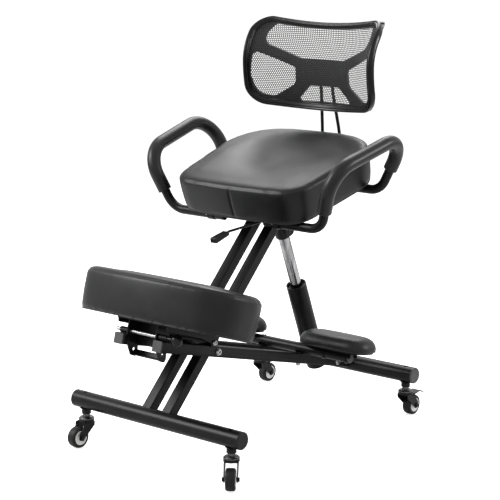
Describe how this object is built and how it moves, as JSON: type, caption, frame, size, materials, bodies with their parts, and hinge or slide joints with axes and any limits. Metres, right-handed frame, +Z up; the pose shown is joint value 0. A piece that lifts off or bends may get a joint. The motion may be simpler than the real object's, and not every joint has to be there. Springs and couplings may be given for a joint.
{
  "type": "kneeling chair",
  "caption": "Kneeling chair on a scissor frame with casters, gas-lift padded seat with side handles, tilting knee rest, ankle rests and a curved mesh backrest.",
  "frame": {"origin": "on the floor, under the middle of the chair's overall box", "axes": "+X to the right seen from the front, +Y towards the back, +Z up"},
  "size_m": [0.6228, 0.7976, 0.9718],
  "materials": {
    "black_steel": "satin powder coat",
    "silver_fasteners": "zinc plated",
    "black_plastic": "matte",
    "chrome": "polished",
    "valve_red": "gloss",
    "black_leather": "satin grain",
    "mesh_fabric": "open weave",
    "foam": "matte foam",
    "plywood": "bare",
    "white_plastic": "gloss",
    "tread_rubber": "smooth"
  },
  "bodies": {
    "rear_frame": {"rear_base_tube": "black_steel", "left_arm": "black_steel", "right_arm": "black_steel", "rear_frame_caps": "black_plastic", "rear_caster_stems": "silver_fasteners", "frame_bolts": "silver_fasteners", "frame_spacers": "black_plastic", "knee_hinge_tube": "black_steel", "knee_hinge_bolt": "silver_fasteners", "ankle_bar": "black_steel", "ankle_bar_bolts": "silver_fasteners"},
    "seat_frame": {"front_base_tube": "black_steel", "left_leg": "black_steel", "right_leg": "black_steel", "front_tube_caps": "black_plastic", "front_caster_stems": "silver_fasteners", "seat_mount": "black_steel", "seat_board": "plywood", "seat_cushion": "black_leather", "handle_tubes": "black_steel", "handle_grips": "foam", "handle_saddles": "black_steel", "seat_screws": "silver_fasteners", "lever_pin": "silver_fasteners"},
    "gas_cylinder": {"gas_tube": "black_steel", "gas_bush": "black_plastic"},
    "gas_rod": {"gas_column": "chrome", "column_head": "black_plastic"},
    "valve": {"valve_button": "valve_red"},
    "lever": {"release_lever": "black_steel", "lever_grip": "black_plastic"},
    "knee_rest": {"knee_bracket": "black_steel", "knee_board": "plywood", "knee_cushion": "black_leather", "knee_screws": "silver_fasteners", "clamp_rod": "silver_fasteners", "rod_sleeves": "black_plastic"},
    "knob": {"clamp_knob": "black_plastic"},
    "backrest": {"back_frame": "black_plastic", "back_mesh": "mesh_fabric", "back_carrier": "black_plastic", "back_rods": "black_steel"},
    "left_ankle_rest": {"left_ankle_mount": "black_steel", "left_ankle_cushion": "black_leather"},
    "right_ankle_rest": {"right_ankle_mount": "black_steel", "right_ankle_cushion": "black_leather"},
    "front_left_swivel": {"front_left_fork": "black_steel"},
    "front_left_wheel": {"front_left_hub": "white_plastic", "front_left_tread": "tread_rubber"},
    "front_right_swivel": {"front_right_fork": "black_steel"},
    "front_right_wheel": {"front_right_hub": "white_plastic", "front_right_tread": "tread_rubber"},
    "rear_left_swivel": {"rear_left_fork": "black_steel"},
    "rear_left_wheel": {"rear_left_hub": "white_plastic", "rear_left_tread": "tread_rubber"},
    "rear_left_brake": {"rear_left_brake_pedal": "black_plastic"},
    "rear_right_swivel": {"rear_right_fork": "black_steel"},
    "rear_right_wheel": {"rear_right_hub": "white_plastic", "rear_right_tread": "tread_rubber"},
    "rear_right_brake": {"rear_right_brake_pedal": "black_plastic"}
  },
  "joints": [
    {"name": "seat_height", "type": "hinge", "parent": "rear_frame", "child": "seat_frame", "pos_m": [0, -0.1882, 0.24701], "axis": [-1, 0, 0], "range_deg": [0, 16.2]},
    {"name": "gas_tilt", "type": "hinge", "parent": "rear_frame", "child": "gas_cylinder", "pos_m": [0, 0.26821, 0.12642], "axis": [1, 0, 0], "range_deg": [-2.94, 0]},
    {"name": "gas_stroke", "type": "slide", "parent": "gas_cylinder", "child": "gas_rod", "axis": [0, -0.3681, 0.9298], "range_m": [-0.10941, 0]},
    {"name": "valve_press", "type": "slide", "parent": "gas_rod", "child": "valve", "axis": [0, -0.3681, 0.9298], "range_m": [-0.0031, 0]},
    {"name": "lever_lift", "type": "hinge", "parent": "seat_frame", "child": "lever", "pos_m": [0, 0.06631, 0.5051], "axis": [-1, 0, 0], "range_deg": [0, 3.5], "stiffness_Nm_per_rad": 2, "springref_deg": -5.73},
    {"name": "knee_tilt", "type": "hinge", "parent": "rear_frame", "child": "knee_rest", "pos_m": [0, -0.20599, 0.27292], "axis": [-1, 0, 0], "range_deg": [0, 16]},
    {"name": "knob_turn", "type": "hinge", "parent": "knee_rest", "child": "knob", "pos_m": [0.095, -0.35469, 0.31122], "axis": [1, 0, 0], "continuous": true},
    {"name": "backrest_depth", "type": "slide", "parent": "seat_frame", "child": "backrest", "axis": [0, 0.9622, 0.2723], "range_m": [-0.015, 0.035]},
    {"name": "left_ankle_tilt", "type": "hinge", "parent": "rear_frame", "child": "left_ankle_rest", "pos_m": [-0.166, 0.13331, 0.18792], "axis": [1, 0, 0], "range_deg": [-15, 15]},
    {"name": "right_ankle_tilt", "type": "hinge", "parent": "rear_frame", "child": "right_ankle_rest", "pos_m": [0.166, 0.13331, 0.18792], "axis": [1, 0, 0], "range_deg": [-15, 15]},
    {"name": "front_left_turn", "type": "hinge", "parent": "seat_frame", "child": "front_left_swivel", "pos_m": [-0.2217, -0.32169, 0.058], "axis": [0, 0, 1], "continuous": true},
    {"name": "front_left_roll", "type": "hinge", "parent": "front_left_swivel", "child": "front_left_wheel", "pos_m": [-0.22358, -0.34862, 0.025], "axis": [0.9976, -0.0698, 0], "continuous": true},
    {"name": "front_right_turn", "type": "hinge", "parent": "seat_frame", "child": "front_right_swivel", "pos_m": [0.2217, -0.32169, 0.058], "axis": [0, 0, 1], "continuous": true},
    {"name": "front_right_roll", "type": "hinge", "parent": "front_right_swivel", "child": "front_right_wheel", "pos_m": [0.23757, -0.34353, 0.025], "axis": [0.809, 0.5878, 0], "continuous": true},
    {"name": "rear_left_turn", "type": "hinge", "parent": "rear_frame", "child": "rear_left_swivel", "pos_m": [-0.2309, 0.33491, 0.058], "axis": [0, 0, 1], "continuous": true},
    {"name": "rear_left_roll", "type": "hinge", "parent": "rear_left_swivel", "child": "rear_left_wheel", "pos_m": [-0.22996, 0.36189, 0.025], "axis": [-0.9994, 0.0349, 0], "continuous": true},
    {"name": "rear_left_brake_press", "type": "hinge", "parent": "rear_left_swivel", "child": "rear_left_brake", "pos_m": [-0.23038, 0.3499, 0.0532], "axis": [-0.9994, 0.0349, 0], "range_deg": [0, 8]},
    {"name": "rear_right_turn", "type": "hinge", "parent": "rear_frame", "child": "rear_right_swivel", "pos_m": [0.2309, 0.33491, 0.058], "axis": [0, 0, 1], "continuous": true},
    {"name": "rear_right_roll", "type": "hinge", "parent": "rear_right_swivel", "child": "rear_right_wheel", "pos_m": [0.2309, 0.36191, 0.025], "axis": [-1, 0, 0], "continuous": true},
    {"name": "rear_right_brake_press", "type": "hinge", "parent": "rear_right_swivel", "child": "rear_right_brake", "pos_m": [0.2309, 0.34991, 0.0532], "axis": [-1, 0, 0], "range_deg": [0, 8]}
  ],
  "couplings": [
    {"joint": "gas_tilt", "follows": "seat_height", "ratio": -0.17761},
    {"joint": "gas_stroke", "follows": "seat_height", "m_per_rad": -0.38658},
    {"joint": "valve_press", "follows": "lever_lift", "m_per_rad": -0.05}
  ]
}
